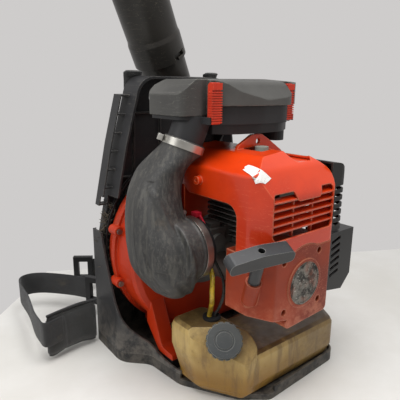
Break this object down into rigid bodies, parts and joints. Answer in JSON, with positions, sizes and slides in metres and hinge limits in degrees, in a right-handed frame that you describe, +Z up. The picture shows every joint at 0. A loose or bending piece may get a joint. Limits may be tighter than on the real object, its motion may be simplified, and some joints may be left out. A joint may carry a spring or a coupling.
{
  "type": "backpack leaf blower",
  "caption": "Engine-driven backpack leaf blower: scroll fan, carrying frame with harness, flexible hose and swinging blower tube with a control handle.",
  "frame": {"origin": "on the ground under the crankshaft, in the plane of the base tray's underside", "axes": "+X to the user's right, +Y towards the user's back and the harness, +Z up"},
  "size_m": [0.5727, 0.633, 0.8825],
  "materials": {
    "frame_plastic": "satin",
    "orange_plastic": "satin",
    "worn_orange": "matte",
    "dark_plastic": "satin",
    "tube_plastic": "satin",
    "rubber": "matte",
    "steel": "satin",
    "black_metal": "satin",
    "guard_plastic": "satin",
    "cast_metal": "matte",
    "ceramic": "gloss",
    "red_plastic": "satin",
    "filter_felt": "matte",
    "tank_plastic": "satin",
    "fuel_hose": "satin",
    "disc_metal": "matte",
    "pad_fabric": "matte",
    "buckle_plastic": "satin"
  },
  "bodies": {
    "machine": {"back_frame": "frame_plastic", "base_tray": "frame_plastic", "isolators": "rubber", "fan_housing_rear": "orange_plastic", "fan_housing_front": "orange_plastic", "inlet_guard": "dark_plastic", "screws": "steel", "crankcase": "cast_metal", "finned_cylinder": "cast_metal", "spark_plug": "ceramic", "plug_boot": "dark_plastic", "ignition_coil": "dark_plastic", "muffler": "black_metal", "muffler_guard": "guard_plastic", "muffler_shield": "black_metal", "carburetor": "cast_metal", "air_horn": "dark_plastic", "intake_elbow": "rubber", "elbow_clamps": "steel", "filter_base": "dark_plastic", "filter_bracket": "dark_plastic", "filter_element": "filter_felt", "filter_cover": "dark_plastic", "engine_cover": "orange_plastic", "starter_cover": "worn_orange", "cover_disc": "disc_metal", "rope_guide": "dark_plastic", "fuel_tank": "tank_plastic", "tank_grommet": "rubber", "fuel_line": "fuel_hose", "return_line": "rubber", "outlet_elbow": "dark_plastic", "hose_clamp": "steel", "bellows": "rubber", "back_pad": "pad_fabric", "left_shoulder_strap": "pad_fabric", "right_shoulder_strap": "pad_fabric", "left_hip_pad": "pad_fabric", "right_hip_pad": "pad_fabric", "hip_belt": "pad_fabric", "belt_buckle": "buckle_plastic"},
    "rotor": {"crankshaft": "steel", "impeller": "dark_plastic", "flywheel": "cast_metal"},
    "grip": {"starter_grip": "dark_plastic"},
    "reel": {"starter_reel": "dark_plastic"},
    "latch_left": {"left_latch": "orange_plastic"},
    "latch_right": {"right_latch": "orange_plastic"},
    "cap_lift_body": {"cap_seal": "rubber"},
    "cap": {"fuel_cap": "dark_plastic"},
    "choke": {"choke_lever": "red_plastic"},
    "butterfly_lever": {"throttle_lever": "steel"},
    "collar": {"hose_collar": "dark_plastic"},
    "tube": {"lower_tube": "tube_plastic", "control_handle": "dark_plastic"},
    "nozzle": {"upper_tube": "tube_plastic"},
    "trigger": {"throttle_trigger": "dark_plastic"},
    "cruise": {"cruise_lever": "orange_plastic"},
    "switch": {"stop_switch": "red_plastic"}
  },
  "joints": [
    {"name": "crank_spin", "type": "hinge", "parent": "machine", "child": "rotor", "pos_m": [0, 0, 0.205], "axis": [0, 1, 0], "continuous": true},
    {"name": "grip_pull", "type": "slide", "parent": "machine", "child": "grip", "axis": [-0.2001, -0.3794, 0.9033], "range_m": [0, 0.7], "stiffness_N_per_m": 20},
    {"name": "reel_spin", "type": "hinge", "parent": "machine", "child": "reel", "pos_m": [0, 0, 0.205], "axis": [0, 1, 0], "range_deg": [-1400, 10]},
    {"name": "left_latch_turn", "type": "hinge", "parent": "machine", "child": "latch_left", "pos_m": [-0.08, -0.081, 0.45], "axis": [1, 0, 0], "range_deg": [0, 75]},
    {"name": "right_latch_turn", "type": "hinge", "parent": "machine", "child": "latch_right", "pos_m": [0.088, -0.081, 0.45], "axis": [1, 0, 0], "range_deg": [0, 75]},
    {"name": "cap_lift", "type": "slide", "parent": "machine", "child": "cap_lift_body", "axis": [-0.5014, -0.6017, 0.6217], "range_m": [0, 0.008]},
    {"name": "cap_turn", "type": "hinge", "parent": "cap_lift_body", "child": "cap", "pos_m": [-0.106, -0.143, 0.115], "axis": [-0.5014, -0.6017, 0.6217], "range_deg": [0, 720]},
    {"name": "choke_turn", "type": "hinge", "parent": "machine", "child": "choke", "pos_m": [-0.093, -0.09, 0.268], "axis": [1, 0, 0], "range_deg": [0, 40]},
    {"name": "throttle_turn", "type": "hinge", "parent": "machine", "child": "butterfly_lever", "pos_m": [-0.073, -0.0395, 0.268], "axis": [0, -1, 0], "range_deg": [0, 45]},
    {"name": "tube_swing", "type": "hinge", "parent": "machine", "child": "collar", "pos_m": [0.233, 0.262, 0.15], "axis": [0.8763, 0.04, 0.4802], "range_deg": [-75, 0], "deforming": ["bellows"]},
    {"name": "tube_swivel", "type": "hinge", "parent": "collar", "child": "tube", "pos_m": [0.191, 0.26, 0.231], "axis": [-0.4688, -0.1651, 0.8678], "range_deg": [-30, 30]},
    {"name": "nozzle_twist", "type": "hinge", "parent": "tube", "child": "nozzle", "pos_m": [0.0035, 0.19397, 0.57811], "axis": [-0.4688, -0.1651, 0.8678], "range_deg": [0, 24]},
    {"name": "trigger_pull", "type": "hinge", "parent": "tube", "child": "trigger", "pos_m": [0.06153, 0.33739, 0.39935], "axis": [-0.8185, -0.2882, -0.497], "range_deg": [0, 18], "stiffness_Nm_per_rad": 0.5},
    {"name": "cruise_turn", "type": "hinge", "parent": "tube", "child": "cruise", "pos_m": [0.0385, 0.31762, 0.4085], "axis": [-0.8185, -0.2882, -0.497], "range_deg": [0, 60]},
    {"name": "switch_rock", "type": "hinge", "parent": "tube", "child": "switch", "pos_m": [0.04741, 0.32362, 0.43059], "axis": [-0.8185, -0.2882, -0.497], "range_deg": [0, 14]}
  ],
  "couplings": [
    {"joint": "reel_spin", "follows": "grip_pull", "rad_per_m": -33.3},
    {"joint": "cap_lift", "follows": "cap_turn", "m_per_rad": 0.00063662},
    {"joint": "throttle_turn", "follows": "trigger_pull", "ratio": 2.5}
  ]
}
